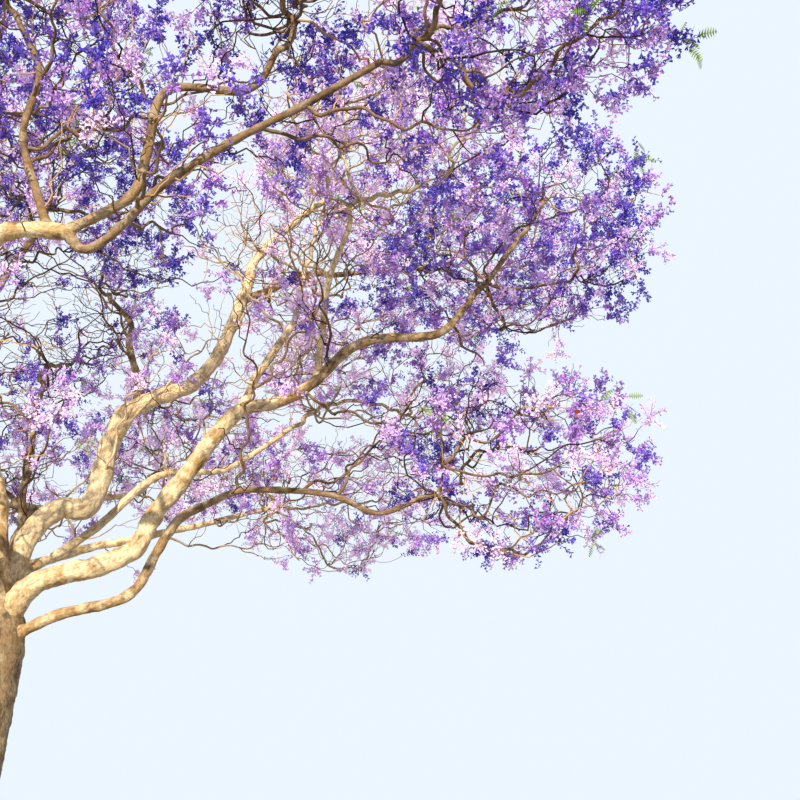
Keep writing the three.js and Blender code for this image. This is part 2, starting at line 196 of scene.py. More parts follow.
# Finer twigs of a mass
FINE_TRIES = 300
FINE_SPACING = 180
FINE_SEED = 2000
FINE_RADIUS = 4.6
FINE_GROWTH = 0.4
FINE_CLEARANCE = 70
KINK_STEP = 130
KINK = 0.42
SWAY = 0.15
THICK_TWIG = 14

# Side growth in three orders, thinner each time. Each leaves the one before, and the first two
# leave the boughs as well. A line of it may leave the masses by no more than SHOOT_REACH.
SHOOTS = [
    dict(radii=(22, 8.5), lengths=(1200, 3000), stretch=290, turn=48, spacing=800, blossom=0.9),
    dict(radii=(9.5, 4.6), lengths=(450, 1500), stretch=190, turn=46, spacing=430, blossom=0.7),
    dict(radii=(5.2, 3.2), lengths=(250, 700), stretch=120, turn=44, spacing=400, blossom=0.35),
]
SHOOT_SEED = 3000
SHOOT_ANGLES = (38, 80)
SHOOT_SWING = (0.7, 1.3)
SHOOT_TURN = (0.4, 1)
SHOOT_RISE = 0.12
SHOOT_HOLD = 0.35
SHOOT_REACH = 1300
SHOOT_THICKNESS = 0.8
LOWEST_SHOOT = -0.5
LOWEST_TWIG = 5200
THICKEST_SHOOTING = (65, 195)

# Panicles of blossom: the stalks of one, their lengths, and the flowers along each. None stands
# within BARE_ROUND of a bough that is thicker than BARE_THICKNESS.
STALKS_AT_END = 6
STALKS_BETWEEN = 4
BETWEEN_CHANCE = 0.3
MAIN_STALKS = (260, 400)
SIDE_STALKS = (130, 280)
SIDE_STALKS_UPTO = 0.8
STALK_RADII = (3.4, 2)
STALK_FAN = (40, 85)
STALK_RISE = 0.3
STALK_CLEARANCE = 60
BARE_ROUND = 650
BARE_THICKNESS = 62
FLOWERS_PER_STALK = 13
FLOWER_LENGTH = 54
FLOWER_WIDTH = 48
FLOWER_LOBES = 5
LOBE_HALF_TURN = 29
LOBE_ENDS = (0.9, 0.75)
HALF_OPEN_LOBES = ((-0.42, 0.12, 0.95), (0, -0.3, 0.8), (0.4, 0.16, 0.88))
FLOWER_LEAN = (30, 100)
FLOWER_SIZES = (0.7, 1.15)
OPEN_SHARE = 0.2
BLOSSOM_SEED = 11
PROUD = 70

# Where the photo shows sky, or a bare bough, through the crown: the middle of each gap and its half
# width in the photo's pixels, and its depth in metres from the camera. Few panicles stay in one.
PHOTO_SIDE = 800
WHOLE_DEPTH = 99
GAPS = {
    "left_edge": (50, 315, 60, WHOLE_DEPTH),
    "left_of_high_right_bough": (188, 305, 28, WHOLE_DEPTH),
    "above_high_right_bough": (238, 236, 46, WHOLE_DEPTH),
    "below_its_leader": (300, 262, 34, WHOLE_DEPTH),
    "between_the_right_boughs": (252, 345, 36, WHOLE_DEPTH),
    "top": (265, 42, 44, WHOLE_DEPTH),
    "before_high_right_bough": (185, 385, 34, 15),
    "before_its_leader": (228, 330, 34, 15.7),
    "before_its_leader_higher": (252, 278, 34, 16.2),
    "before_its_leader_end": (298, 222, 30, 16.9),
    "before_low_right_bough": (212, 448, 30, 13),
}
LEFT_IN_GAPS = 0.25

# Tones of the blossom: name, colour, and the painted glow that stands in for the daylight its petals
# let through. The deep tones stand for painted shade and the pale ones for painted sunlight.
TONES = [
    ("deep_violet", "#5040B6", 0.03),
    ("violet", "#785CC8", 0.04),
    ("purple", "#AA7ECC", 0.06),
    ("lavender", "#CAACE3", 0.09),
    ("pale_lilac", "#E8CEEC", 0.12),
]
# Tones are dealt by place: slow noise and scatter at random, a bough's offset as painted sunlight and
# shade, and a deepening per metre above TONE_HEIGHT as painted shade
TONE_WAVE = 1500
TONE_MIDDLE = 0.56
TONE_SPREAD = 0.4
PANICLE_SCATTER = 0.44
STALK_SCATTER = 0.18
TONE_HEIGHT = 8500
TONE_PAINTED_SHADE_PER_METRE = 0.05

# Tufts of fresh leaves and bunches of old pods: how often a twig's end has them, and their sizes
LEAF_CHANCE = 0.02
LEAF_STALKS = 2
FRONDS_PER_STALK = 4
LEAF_LENGTH = 240
LEAF_WIDTH = 110
LEAF_PAIRS = 7
LEAFLET_FEET = (0.12, 0.92)
LEAFLET_REACH = (0.25, 0.95)
LEAFLET_WIDTH = 0.6
LEAFLET_SLANT = 0.45
LEAFLET_LIFT = 0.15
RIB_HALF = 3
POD_CHANCE = 0.02
PODS_PER_STALK = 3
POD_RADIUS = 29
POD_THICKNESS = 9
POD_STALK = 30
POD_STALK_HALF = 2
POD_STALK_ENTRY = 4
POD_SIDES = 8
PODS_ASIDE = 40
PODS_BELOW = 60
TUFT_LEAN = (20, 80)
TUFT_SIZES = (0.7, 1.1)

# Share of the thin twigs that is sandy, its rise on a bough that is bleached and painted sunlit, how
# far twigs count as bleached and sunlit where their bough isn't, the sides of twigs, and the thickness
# of a thin one. Sandy twigs are painted sunlight and brown ones painted shade on the same young bark.
SANDY_SHARE = 0.3
SANDY_RISE = 4
TWIG_BLEACH_AND_PAINTED_SUNLIGHT = 0.03
THICK_SIDES = 5
THIN_SIDES = 3
THIN_BELOW = 7

# Bark: cracks along the limb and lumps under them, which are less on a thin limb
CRACK_SPACING = 75
CRACK_STRETCH = 3
CRACK_DEPTH = 7
CRACK_HALF = 0.03
CRACKED_GIRTHS = (20, 150)
LEAST_CRACKED = 0.15
LUMP_SIZE = 170
LUMP_SPREAD = (0.3, 0.7)
LUMP_SHARE = 0.13
HIGHEST_LUMP = 15
BARK_OFFSET = 9000

# Bark's colours: metres across a bleached patch, a dark patch, a scale of bark, and a fleck, the
# last two drawn coarser than life so that they show. A layer of each colour lies over the tan bark:
# it follows a measure from one value to another, and covers from one share to another. The pale layer
# is bleaching and painted sunlight, the grey and brown layers darken the thickest and thinnest limbs
# with their age and with painted shade, and the dark patches are stains and painted shadows. Seams and
# flecks follow theirs in the same way, and shade the bark.
BLEACHED_PATCH = 0.22
DARK_PATCH = 0.2
BARK_SCALE = 0.045
BARK_FLECK = 0.03
LONG_SCALES = (1, 1, 0.5)
TAN = "#B49567"
LAYERS = {
    # pale: partly bleaching by the sun, partly painted sunlight
    "sun_bleached": "#DECAA4",
    # grey on the thickest limbs: partly old bark, partly painted shade at the fork
    "old_and_thick": "#7B6850",
    # dark brown on thin limbs: partly young bark, partly painted shade
    "young_and_thin": "#5E4433",
    # dark patches: partly stains, partly painted shadows on the limbs
    "stained": "#54463A",
}
RANGES = {
    "sun_bleached": (0.44, 0.6, 0, 1),
    "old_and_thick": (0.14, 0.25, 0, 0.72),
    "young_and_thin": (0.03, 0.085, 0.8, 0),
    "stained": (0.53, 0.6, 0, 0.7),
    "seam": (0.02, 0.12, 0.84, 1),
    "fleck": (0.36, 0.64, 0.76, 1.1),
}
BLEACH_AND_SUNLIGHT_AGES = 0.4
# Cracks are darkened towards a brown as painted shade in the recesses
CRACK_PAINTED_SHADE = 0.45
CRACK_BROWN = "#453625"

# Floor, sky and sun, and the camera, which stands under the crown's front edge and looks up
FLOOR_HALF = 80000
SKY_STRENGTH = 1.0
SUN_ENERGY = 5.3
SUN_WIDTH = 0.9
SUN_TURNS = (71, 0, -4)
CAMERA_PLACE = (5.2, -13.0, 1.6)
CAMERA_PITCH = 23
CAMERA_LENS = 45
CAMERA_SENSOR = 36
CAMERA_REACH = 500

WORD = 0xFFFFFFFF
GOLDEN = pi * (3 - sqrt(5))
UP = np.array([0.0, 0.0, 1.0])
SIDEWAYS = np.array([1.0, 0.0, 0.0])
NEARLY_UPRIGHT = 0.9

Limb = namedtuple("Limb", "points radii stretches")
Space = namedtuple("Space", "root heading spread centre")
Joint = namedtuple("Joint", "point parent back")
Crown = namedtuple("Crown", "segments thick spaces")
Family = namedtuple("Family", "limbs masses tubes twigs blossom tufts")


# Drawing numbers and directions

def draws_from(seed):
    """Numbers from 0 to 1, the same each time for a seed."""
    state = seed

    def draw():
        nonlocal state
        state = (state + 0x6D2B79F5) & WORD
        mixed = ((state ^ (state >> 15)) * (1 | state)) & WORD
        mixed = ((mixed + (mixed ^ (mixed >> 7)) * (61 | mixed)) & WORD) ^ mixed
        return (mixed ^ (mixed >> 14)) / (WORD + 1)

    return draw


def either(draw):
    """A number from -1 to 1."""
    return 2 * draw() - 1


def between(limits, share):
    return limits[0] + (limits[1] - limits[0]) * share


def unit(vector):
    return vector / norm(vector)


def run_along(line):
    """Distance of each point along a line."""
    return np.concatenate([[0], np.cumsum(norm(np.diff(line, axis=0), axis=1))])


def pointing(bearing, climb):
    turn, rise = radians(bearing), radians(climb)
    flat = cos(rise)
    return np.array([flat * cos(turn), flat * sin(turn), sin(rise)])


def leaning(heading, tilt, turn):
    """A heading tilted towards a turn about itself."""
    side = unit(np.cross(heading, UP if abs(heading[2]) < NEARLY_UPRIGHT else SIDEWAYS))
    aside = side * cos(turn) + np.cross(heading, side) * sin(turn)
    return heading * cos(tilt) + aside * sin(tilt)


# The rule of the solids

def smooth_line(ends, places):
    """Points of a smooth curve through the ends, at places counted in ends."""
    padded = np.vstack([2 * ends[0] - ends[1], ends, 2 * ends[-1] - ends[-2]])
    below = np.minimum(places.astype(int), len(ends) - 2)
    t = (places - below)[:, None]
    before, left, right, after = (padded[below + i] for i in range(4))
    leaving, arriving = (right - before) / 2, (after - left) / 2
    square = 3 * (right - left) - 2 * leaving - arriving
    cube = 2 * (left - right) + leaving + arriving
    return left + leaving * t + square * t**2 + cube * t**3


def winding_stretches(bearing, climb, reach, draw):
    """Stretches that swing to both sides of one bearing and climb."""
    stretches = []
    side = -1 if draw() < 0.5 else 1
    for _ in range(WINDING_STRETCHES):
        turn = side * WINDING_TURN * (0.5 + draw() / 2)
        rise = either(draw) * WINDING_CLIMB
        stretches.append((reach / WINDING_STRETCHES, bearing + turn, climb + rise))
        side = -side
    return stretches


def stretch_ends(start, stretches):
    ends = [start]
    for length, bearing, climb in stretches:
        ends.append(ends[-1] + length * pointing(bearing, climb))
    return np.array(ends)


def trunk_line(shares):
    """Points of the trunk's leaning and bowed line, at shares of its height."""
    leaning_line = np.outer(shares, (*TRUNK_LEAN, TRUNK_HEIGHT))
    return leaning_line + np.outer(np.sin(np.pi * shares), (*TRUNK_BOW, 0))


def trunk_reach(shares, angles):
    """Distance of the trunk's surface from its line, without its dome."""
    flare = np.exp(-TRUNK_HEIGHT * shares / FLARE_HEIGHT)
    waist = TRUNK_RADIUS + (FORK_RADIUS - TRUNK_RADIUS) * shares
    return waist + flare * (FLARE + LOBE_DEPTH * np.cos(ROOT_LOBES * angles))


def trunk_limb():
    shares = np.array(RING_HEIGHTS)
    radii = trunk_reach(shares, 0)
    radii[-len(DOME_SHARES):] *= DOME_SHARES
    return Limb(trunk_line(shares), radii, None)


def bough_limb(bough, parent, index):
    place = bough.at * (len(parent.points) - 1)
    below = min(int(place), len(parent.points) - 2)
    start = parent.points[below]
    start = start + (parent.points[below + 1] - start) * (place - below)
    stretches = bough.stretches or winding_stretches(*bough.winding, draws_from(index + 1))
    steps = len(stretches) * RINGS_PER_STRETCH
    points = smooth_line(stretch_ends(start, stretches), np.arange(steps + 1) / RINGS_PER_STRETCH)
    return Limb(points, np.linspace(*bough.radii, steps + 1), stretches)


def distances(a, b, starts, ends):
    """The shortest distance from the stretch a to b to each of many stretches."""
    ab, cd, ac = b - a, ends - starts, a - starts
    length_ab, length_cd = ab @ ab, np.einsum("ij,ij->i", cd, cd)
    both, cd_ac, ab_ac = cd @ ab, np.einsum("ij,ij->i", cd, ac), ac @ ab
    slant = length_ab * length_cd - both * both
    steep = slant > 1e-6
    s = np.where(steep, (both * cd_ac - length_cd * ab_ac) / np.where(steep, slant, 1), 0)
    s = np.clip(s, 0, 1)
    t = np.clip((both * s + cd_ac) / np.where(length_cd > 0, length_cd, 1), 0, 1)
    s = np.clip((both * t - ab_ac) / length_ab, 0, 1) if length_ab > 0 else np.zeros_like(t)
    gaps = a + ab * s[:, None] - starts - cd * t[:, None]
    return norm(gaps, axis=1)


def clear_of(a, b, radius, segments):
    """True where the stretch from a to b keeps its radius clear of every limb."""
    starts, ends, radii = segments
    return bool(np.all(distances(a, b, starts, ends) >= radii + radius))


def mass_space(bough, limb):
    """A mass's own space: a flattened ball beyond its bough's tip."""
    root = limb.points[-1]
    heading = unit(root - limb.points[-2])
    along = bough.blossom / norm(heading / (1, 1, MASS_FLATNESS))
    return Space(root, heading, bough.blossom, root + heading * STEM_ENTRY * along)


def stretched(point, space):
    """A point from a mass's middle, as if the mass were a round ball."""
    return (point - space.centre) / (1, 1, MASS_FLATNESS)


def inside_space(point, space, spaces):
    """True where a point is inside its own ball and clear of every neighbour's share."""
    own = stretched(point, space)
    if norm(own) > space.spread - SPACE_MARGIN:
        return False
    own_power = own @ own - space.spread**2
    for other in spaces:
        if other is space:
            continue
        away = stretched(point, other)
        power = away @ away - other.spread**2
        apart = norm(stretched(other.centre, space))
        if own_power >= power - 2 * apart * SPACE_MARGIN:
            return False
    return True


def twig_ends(space, spaces, draw, tries):
    """The ends of the twigs, spread evenly through the ball and moved a little."""
    ends = []
    for i in range(tries):
        share = (((i * LAYER_STEP) % tries) + draw()) / tries
        out = (space.spread - SPACE_MARGIN) * np.cbrt(EMPTY_MIDDLE + (1 - EMPTY_MIDDLE) * share)
        height = 1 - (2 * (i + 0.5)) / tries
        ring = sqrt(1 - height * height)
        turn = i * GOLDEN + draw() / 2
        offset = np.array([ring * cos(turn), ring * sin(turn), height * MASS_FLATNESS])
        end = space.centre + out * offset
        if inside_space(end, space, spaces):
            ends.append(end)
    return sorted(ends, key=lambda end: norm(end - space.root))


def join_ends(joints, ends, segments, spacing, room, passing, clearance):
    """Joins each end where its stretch and a share of the way back are shortest together."""
    for end in ends:
        points = np.array([joint.point for joint in joints])
        away = norm(points - end, axis=1)
        if away.min() < spacing or not clear_of(end, end, room, segments):
            continue
        costs = away + DETOUR * np.array([joint.back for joint in joints])
        for i in 1 + np.argsort(costs[1:], kind="stable"):
            others = np.delete(points, [0, 1, i], axis=0)
            start = joints[i].point
            if passing and len(others) and distances(start, end, others, others).min() <= passing:
                continue
            if clear_of(start, end, clearance, segments):
                joints.append(Joint(end, int(i), joints[i].back + away[i]))
                break


def branching(space, spaces, segments, index):
    """The twigs of a mass: the solid's own branching, then finer ends joined to it."""
    stem = STEM_SHARE * space.spread
    root = space.root + space.heading * GAP
    joints = [Joint(root, None, 0.0), Joint(root + space.heading * stem, 0, stem)]
    ends = twig_ends(space, spaces, draws_from(MASS_SEED + index), SPRAYS)
    join_ends(joints, ends, segments, SPRAY_SPACING, SPRAY_REACH + TWIG_CLEARANCE, SPRAY_PASSING,
              THICKEST_TWIG + TWIG_CLEARANCE)
    ends = twig_ends(space, spaces, draws_from(FINE_SEED + index), FINE_TRIES)
    join_ends(joints, ends, segments, FINE_SPACING, FINE_CLEARANCE, None, FINE_RADIUS)
    return joints


# Meshes from arrays

def new_mesh(name, points, faces=(), edges=()):
    """A mesh from points in millimetres and rows of corners."""
    mesh = bpy.data.meshes.new(name)
    points = (np.asarray(points) * MM).tolist()
    mesh.from_pydata(points, edges, [list(map(int, face)) for face in faces])
    mesh.update()
    return mesh


def new_object(name, data):
    made = bpy.data.objects.new(name, data)
    bpy.context.scene.collection.objects.link(made)
    return made


def add_attribute(mesh, name, values):
    values = np.concatenate(values).astype(np.float32)
    kind, field = ("FLOAT", "value") if values.ndim == 1 else ("FLOAT_VECTOR", "vector")
    mesh.attributes.new(name, kind, "POINT").data.foreach_set(field, values.ravel())


def ring_frames(points, upright):
    """Two directions across the line at each point, without twisting along it."""
    headings = np.tile(UP, (len(points), 1)) if upright else np.gradient(points, axis=0)
    side = SIDEWAYS
    frames = []
    for heading in headings:
        heading = unit(heading)
        side = unit(side - heading * (side @ heading))
        frames.append((side, np.cross(side, heading)))
    return np.array(frames)


def tube_round(line, reach, bleached, upright=False):
    """A closed tube's corners and faces, and for each corner its place on the unrolled bark, the
    thickness of the limb there and how far it is bleached, partly by the sun and partly as painted
    sunlight."""
    rings, sides = reach.shape
    angles = np.arange(sides) * tau / sides
    flat = np.column_stack([np.cos(angles), np.sin(angles)]) * reach[:, :, None]
    corners = line[:, None, :] + np.einsum("rsk,rkd->rsd", flat, ring_frames(line, upright))
    runs = np.repeat(run_along(line), sides)
    low = np.arange((rings - 1) * sides).reshape(rings - 1, sides)
    beside = np.roll(low, -1, axis=1)
    walls = np.stack([low, low + sides, beside + sides, beside], axis=2).reshape(-1, 4)
    foot = np.arange(sides)
    tip = foot[::-1] + (rings - 1) * sides
    return (corners.reshape(-1, 3), [*walls, foot, tip],
            np.column_stack([flat.reshape(-1, 2), runs]) * MM,
            np.repeat(reach.mean(axis=1), sides) * MM, np.full(rings * sides, bleached))


def join_tubes(tubes):
    """One mesh of several tubes, with what its bark needs at each corner."""
    corners, faces, places, thickness, bleached = zip(*tubes)
    firsts = np.cumsum([0, *map(len, corners)])
    faces = [face + first for first, own in zip(firsts, faces) for face in own]
    mesh = new_mesh("tubes", np.concatenate(corners), faces)
    apart = [place + (0, 0, BARK_OFFSET * MM * i) for i, place in enumerate(places)]
    add_attribute(mesh, "bark_place", apart)
    add_attribute(mesh, "thickness", thickness)
    add_attribute(mesh, "bleached", bleached)
    return mesh


def lines_mesh(lines, radii=()):
    """A mesh of a chain of edges for each line, with the thickness at its points."""
    points = np.concatenate(lines)
    lasts = np.cumsum([len(line) for line in lines]) - 1
    firsts = np.delete(np.arange(len(points)), lasts)
    mesh = new_mesh("lines", points, edges=np.column_stack([firsts, firsts + 1]).tolist())
    if radii:
        add_attribute(mesh, "thickness", [own * MM for own in radii])
    return mesh


# Nodes

def add(tree, kind, inputs=None, take=0, **settings):
    """Adds a node with its settings, and gives one of its outputs. An input is a value, the output
    that it is linked to, or a list of outputs."""
    node = tree.nodes.new(kind)
    for name, value in settings.items():
        setattr(node, name, value)
    for socket, values in (inputs or {}).items():
        for value in values if isinstance(values, list) else [values]:
            if isinstance(value, bpy.types.NodeSocket):
                tree.links.new(value, node.inputs[socket])
            else:
                node.inputs[socket].default_value = value
    return node.outputs[take] if node.outputs else None


def new_rule(name, inputs):
    """An empty geometry node tree with named inputs, and what they give."""
    tree = bpy.data.node_groups.new(name, "GeometryNodeTree")
    tree.interface.new_socket(name="Made", in_out="OUTPUT", socket_type="NodeSocketGeometry")
    for label, kind in {"Start": "Geometry", **inputs, "Material": "Material"}.items():
        tree.interface.new_socket(name=label, in_out="INPUT", socket_type=f"NodeSocket{kind}")
    return tree, add(tree, "NodeGroupInput").node.outputs


def finish_rule(tree, made, material):
    """Ends a tree with its instances made real and its material set."""
    real = add(tree, "GeometryNodeRealizeInstances", {0: made})
    dressed = add(tree, "GeometryNodeSetMaterial", {"Geometry": real, "Material": material})
    add(tree, "NodeGroupOutput", {0: dressed})
    return tree


def grow(start, rule, values):
    """The plain mesh that a rule makes of a mesh, with its named inputs set."""
    carrier = new_object("carrier", start)
    modifier = carrier.modifiers.new("rule", "NODES")
    modifier.node_group = rule
    for item in rule.interface.items_tree:
        if item.in_out == "INPUT" and item.name in values:
            modifier[item.identifier] = values[item.name]
    depsgraph = bpy.context.evaluated_depsgraph_get()
    made = bpy.data.meshes.new_from_object(
        carrier.evaluated_get(depsgraph), preserve_all_data_layers=True, depsgraph=depsgraph)
    bpy.data.objects.remove(carrier)
    bpy.data.meshes.remove(start)
    return made


# Materials

def linear(code):
    """An sRGB hex colour as the linear values that shaders take."""
    parts = [int(code[i:i + 2], 16) / 255 for i in (1, 3, 5)]
    return (*[p / 12.92 if p <= 0.04045 else ((p + 0.055) / 1.055) ** 2.4 for p in parts], 1)


def new_material(name, code, roughness, **sockets):
    """A material of one colour and roughness, with any other sockets of its shader set."""
    material = bpy.data.materials.new(name)
    material.use_nodes = True
    shader = material.node_tree.nodes["Principled BSDF"]
    for socket, value in {"Base Color": linear(code), "Roughness": roughness, **sockets}.items():
        shader.inputs[socket.replace("_", " ")].default_value = value
    return material


def painted_glow_material(name, code, roughness, glow, **sockets):
    """A material with a painted glow in its own colour, standing in for the daylight that comes through
    it.
    """
    return new_material(name, code, roughness, Emission_Color=linear(code), Emission_Strength=glow,
                        **sockets)


def jacaranda_bark():
    """Thin scaly bark: tan, paler where the sun bleaches it and where sunlight is painted on, darker on
    the thickest and thinnest limbs with age and painted shade, with dark patches of stain and painted
    shadow, small dark seams, and cracks darkened as painted shade.
    """
    material = new_material("jacaranda_bark", TAN, 0.9)
    tree = material.node_tree
    place = add(tree, "ShaderNodeAttribute", take="Vector", attribute_name="bark_place")
    crack, bleached, girth = (add(tree, "ShaderNodeAttribute", take="Fac", attribute_name=name)
                              for name in ("crack", "bleached", "thickness"))
    long_place = add(tree, "ShaderNodeVectorMath", {0: place, 1: LONG_SCALES}, operation="MULTIPLY")
    patches, stain_and_shadow_noise, flecks = (
        add(tree, "ShaderNodeTexNoise",
            {"Vector": where, "Scale": 1 / size, "Detail": detail, "Roughness": roughness})
        for where, size, detail, roughness in (
            (place, BLEACHED_PATCH, 6, 0.6), (long_place, DARK_PATCH, 7, 0.62),
            (long_place, BARK_FLECK, 3, 0.7)))
    # The pale layer is partly painted sunlight, the old and young layers partly painted shade, and the
    # dark patches partly painted shadow
    measures = {
        "sun_bleached": add(tree, "ShaderNodeMath", {0: patches, 1: bleached}, operation="ADD"),
        "old_and_thick": girth,
        "young_and_thin": add(tree, "ShaderNodeMath", {0: bleached, 1: BLEACH_AND_SUNLIGHT_AGES, 2: girth},
                              operation="MULTIPLY_ADD"),
        "stained": add(tree, "ShaderNodeMath", {0: stain_and_shadow_noise, 1: bleached}, operation="SUBTRACT"),
        "seam": add(tree, "ShaderNodeTexVoronoi", {"Vector": long_place, "Scale": 1 / BARK_SCALE},
                    feature="DISTANCE_TO_EDGE"),
        "fleck": flecks,
    }
    shares = {name: add(tree, "ShaderNodeMapRange", {0: measures[name], **dict(enumerate(values, 1))})
              for name, values in RANGES.items()}
    colour = linear(TAN)
    for name, code in LAYERS.items():
        colour = add(tree, "ShaderNodeMix", {0: shares[name], 6: colour, 7: linear(code)}, take=2,
                     data_type="RGBA")
    shade = add(tree, "ShaderNodeMath", {0: shares["seam"], 1: shares["fleck"]}, operation="MULTIPLY")
    shaded = add(tree, "ShaderNodeVectorMath", {0: colour, 3: shade}, operation="SCALE")
    # painted shade in the cracks
    crack_shade = add(tree, "ShaderNodeMath", {0: crack, 1: CRACK_PAINTED_SHADE}, operation="MULTIPLY")
    cracked = add(tree, "ShaderNodeMix", {0: crack_shade, 6: shaded, 7: linear(CRACK_BROWN)}, take=2,
                  data_type="RGBA")
    bump = add(tree, "ShaderNodeBump", {"Strength": 0.8, "Distance": 0.01, "Height": shade})
    shader = tree.nodes["Principled BSDF"]
    tree.links.new(cracked, shader.inputs["Base Color"])
    tree.links.new(bump, shader.inputs["Normal"])
    return material


# Rules that the pieces are grown by

def bark_rule():
    """Cracks and lumps of bark on a smooth limb."""
    tree, given = new_rule("bark_relief", {
        "Crack Fineness": "Float", "Grain": "Vector", "Crack Depth": "Float", "Lump Fineness": "Float",
        "Lump Share": "Float", "Highest Lump": "Float", "Sideways": "Vector"})
    place, thickness = (
        add(tree, "GeometryNodeInputNamedAttribute", {"Name": name}, data_type=kind)
        for name, kind in (("bark_place", "FLOAT_VECTOR"), ("thickness", "FLOAT")))
    long_place = add(tree, "ShaderNodeVectorMath", {0: place, 1: given["Grain"]}, operation="MULTIPLY")
    grain, lumps = (
        add(tree, "ShaderNodeTexNoise", {"Vector": where, "Scale": fineness, "Detail": 2.0})
        for where, fineness in ((long_place, given["Crack Fineness"]),
                                (place, given["Lump Fineness"])))
    middle = add(tree, "ShaderNodeMath", {0: grain, 1: 0.5}, operation="SUBTRACT")
    away = add(tree, "ShaderNodeMath", {0: middle}, operation="ABSOLUTE")
    crack = add(tree, "ShaderNodeMapRange", {0: away, 1: 0.0, 2: CRACK_HALF, 3: 1.0, 4: 0.0},
                interpolation_type="SMOOTHSTEP")
    sized = add(tree, "ShaderNodeMapRange", {
        0: thickness, 1: CRACKED_GIRTHS[0] * MM, 2: CRACKED_GIRTHS[1] * MM, 3: LEAST_CRACKED, 4: 1.0})
    depth = add(tree, "ShaderNodeMath", {0: given["Crack Depth"], 1: sized}, operation="MULTIPLY")
    cut = add(tree, "ShaderNodeMath", {0: crack, 1: depth}, operation="MULTIPLY")
    lump = add(tree, "ShaderNodeMapRange",
               {0: lumps, 1: LUMP_SPREAD[0], 2: LUMP_SPREAD[1], 3: -1.0, 4: 1.0})
    share = add(tree, "ShaderNodeMath", {0: thickness, 1: given["Lump Share"]}, operation="MULTIPLY")
    highest = add(tree, "ShaderNodeMath", {0: share, 1: given["Highest Lump"]}, operation="MINIMUM")
    rise = add(tree, "ShaderNodeMath", {0: lump, 1: highest}, operation="MULTIPLY")
    height = add(tree, "ShaderNodeMath", {0: rise, 1: cut}, operation="SUBTRACT")
    normal = add(tree, "GeometryNodeInputNormal")
    outward = add(tree, "ShaderNodeVectorMath", {0: normal, 3: height}, operation="SCALE")
    offset = add(tree, "ShaderNodeVectorMath", {0: outward, 1: given["Sideways"]}, operation="MULTIPLY")
    kept = add(tree, "GeometryNodeStoreNamedAttribute",
               {"Geometry": given["Start"], "Name": "crack", "Value": crack},
               data_type="FLOAT", domain="POINT")
    moved = add(tree, "GeometryNodeSetPosition", {"Geometry": kept, "Offset": offset})
    smooth = add(tree, "GeometryNodeSetShadeSmooth", {"Geometry": moved})
    return finish_rule(tree, smooth, given["Material"])


def twig_rule():
    """Round twigs along lines, with more sides on the thick ones."""
    tree, given = new_rule("twigs_along_lines", {
        "Thick Sides": "Int", "Thin Sides": "Int", "Thin Below": "Float"})
    lines = add(tree, "GeometryNodeMeshToCurve", {0: given["Start"]})
    thickness = add(tree, "GeometryNodeInputNamedAttribute", {"Name": "thickness"}, data_type="FLOAT")
    thick = add(tree, "FunctionNodeCompare", {0: thickness, 1: given["Thin Below"]},
                data_type="FLOAT", operation="GREATER_THAN")
    parted = add(tree, "GeometryNodeSeparateGeometry", {0: lines, 1: thick}, domain="CURVE")
    tubes = []
    for kind, label in zip(parted.node.outputs, ("Thick Sides", "Thin Sides")):
        ring = add(tree, "GeometryNodeCurvePrimitiveCircle", {0: given[label], 4: 1.0}, mode="RADIUS")
        tubes.append(add(tree, "GeometryNodeCurveToMesh", {
            "Curve": kind, "Profile Curve": ring, "Scale": thickness, "Fill Caps": True}))
    joined = add(tree, "GeometryNodeJoinGeometry", {0: tubes})
    smooth = add(tree, "GeometryNodeSetShadeSmooth", {"Geometry": joined})
    return finish_rule(tree, smooth, given["Material"])


def stalk_rule():
    """Small things of two kinds that stand out all round a stalk."""
    tree, given = new_rule("things_along_stalks", {
        "Large Kind": "Object", "Small Kind": "Object", "Count": "Int", "Least Lean": "Float",
        "Most Lean": "Float", "Smallest": "Float", "Largest": "Float", "Small Share": "Float",
        "Seed": "Int"})
    lines = add(tree, "GeometryNodeMeshToCurve", {0: given["Start"]})
    points = add(tree, "GeometryNodeCurveToPoints", {"Curve": lines, "Count": given["Count"]},
                 mode="COUNT")
    turn = add(tree, "ShaderNodeMath", {0: add(tree, "GeometryNodeInputIndex"), 1: GOLDEN},
               operation="MULTIPLY")
    next_seed, last_seed = (
        add(tree, "ShaderNodeMath", {0: given["Seed"], 1: step}, operation="ADD")
        for step in (1.0, 2.0))
    lean, size, drawn = (
        add(tree, "FunctionNodeRandomValue", {2: least, 3: most, 8: seed}, take=1, data_type="FLOAT")
        for least, most, seed in (
            (given["Least Lean"], given["Most Lean"], given["Seed"]),
            (given["Smallest"], given["Largest"], next_seed), (0.0, 1.0, last_seed)))
    facing = points.node.outputs["Rotation"]
    for axis, angle in (((0, 0, 1), turn), ((1, 0, 0), lean)):
        about = add(tree, "FunctionNodeAxisAngleToRotation", {"Axis": axis, "Angle": angle})
        facing = add(tree, "FunctionNodeRotateRotation", {0: facing, 1: about}, rotation_space="LOCAL")
    small = add(tree, "FunctionNodeCompare", {0: drawn, 1: given["Small Share"]},
                data_type="FLOAT", operation="LESS_THAN")
    kinds = [
        add(tree, "GeometryNodeObjectInfo", {"Object": given[label], "As Instance": True},
            take="Geometry")
        for label in ("Small Kind", "Large Kind")]
    joined = add(tree, "GeometryNodeJoinGeometry", {0: kinds})
    placed = add(tree, "GeometryNodeInstanceOnPoints", {
        "Points": points, "Instance": joined, "Pick Instance": True, "Instance Index": small,
        "Rotation": facing, "Scale": size})
    return finish_rule(tree, placed, given["Material"])


# Small things that a rule sets out

